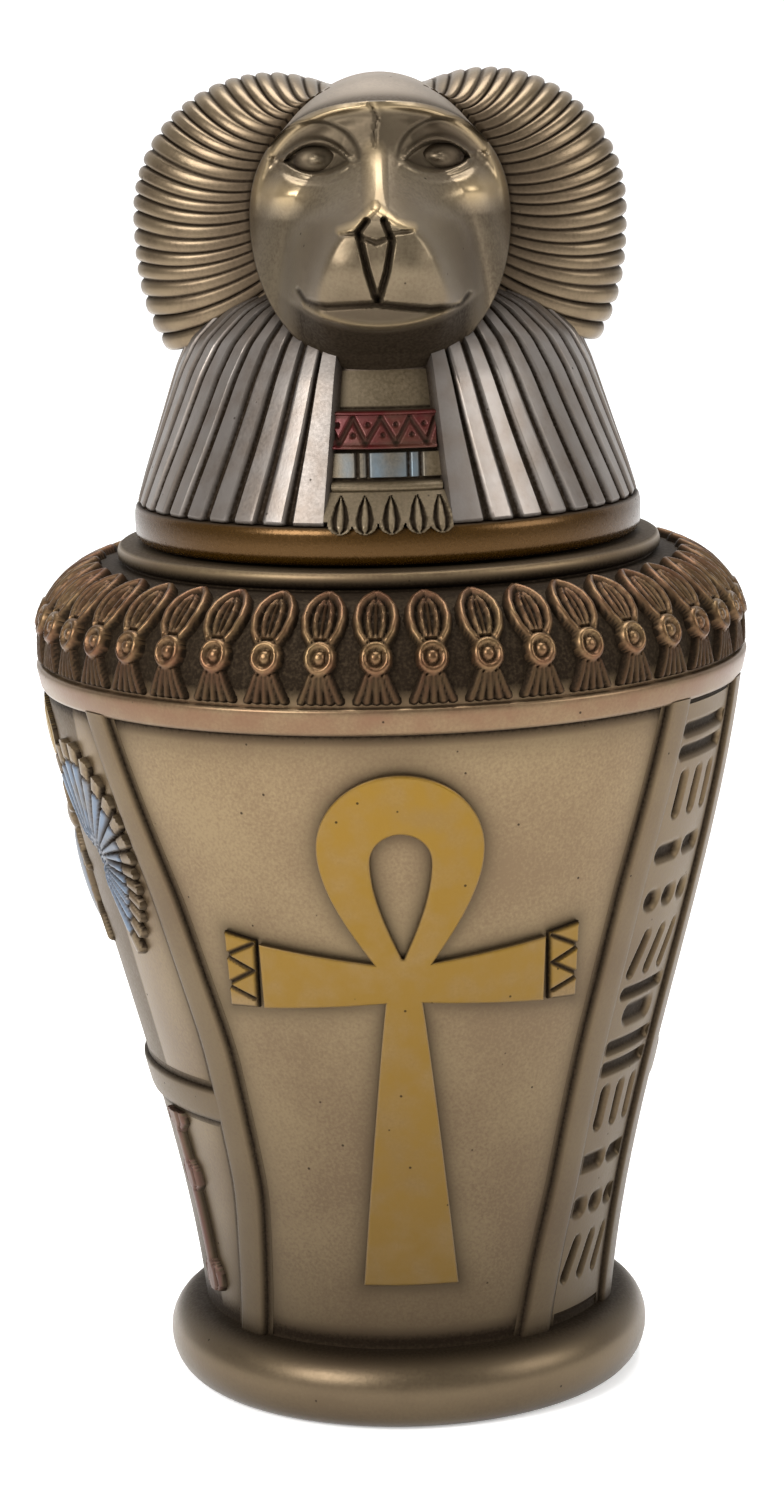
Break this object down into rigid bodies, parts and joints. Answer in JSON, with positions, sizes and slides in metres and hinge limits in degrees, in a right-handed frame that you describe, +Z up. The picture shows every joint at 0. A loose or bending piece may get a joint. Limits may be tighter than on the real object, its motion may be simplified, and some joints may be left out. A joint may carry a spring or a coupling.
{
  "type": "souvenir canopic jar with baboon-headed lid",
  "caption": "Hollow souvenir canopic jar in cold-cast bronze resin, tapering body on a ring foot, with a loose baboon-headed lid, a raised ankh and a shoulder row of pendants.",
  "frame": {"origin": "middle of the underside of the foot, on the surface it stands on", "axes": "+Z up the jar's axis, -Y towards the front, where the baboon faces and the ankh panel is, +X to the viewer's right"},
  "size_m": [0.0828, 0.0828, 0.1529],
  "materials": {
    "bronze_resin": "cold-cast bronze-filled polyester resin, satin, with dark patina in the recesses",
    "lid_bronze_resin": "cold-cast bronze-filled polyester resin, satin, with painted headcloth, collar and band"
  },
  "bodies": {
    "root": {"jar": "bronze_resin", "lid": "lid_bronze_resin"}
  },
  "joints": []
}
